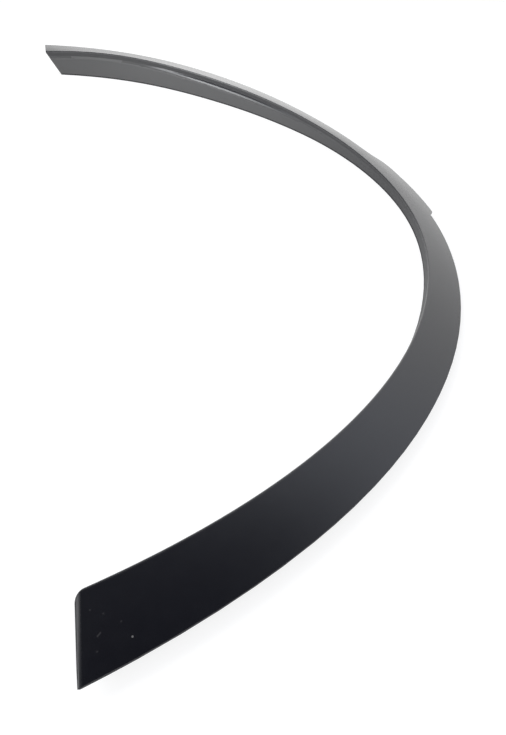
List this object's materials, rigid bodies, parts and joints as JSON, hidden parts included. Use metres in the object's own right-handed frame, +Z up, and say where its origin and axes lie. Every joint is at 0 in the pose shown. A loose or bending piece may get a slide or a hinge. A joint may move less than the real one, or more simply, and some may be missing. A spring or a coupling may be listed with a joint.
{
  "type": "wheel arch trim",
  "caption": "Curved black moulded strip that edges a car's wheel arch: a narrow sloping face, a lip turned down along the inner curve, a small tab on the outer edge and clip seats behind.",
  "frame": {"origin": "middle of the bounding box, on the plane the lip's free edge lies on", "axes": "+Z up, out of the face; +Y along the chord from the near end to the far end; +X from the wheel space out through the crown"},
  "size_m": [0.3762, 0.8461, 0.0315],
  "materials": {
    "trim_plastic": "satin black moulding with a fine even grain"
  },
  "bodies": {
    "root": {"arch_trim": "trim_plastic"}
  },
  "joints": []
}
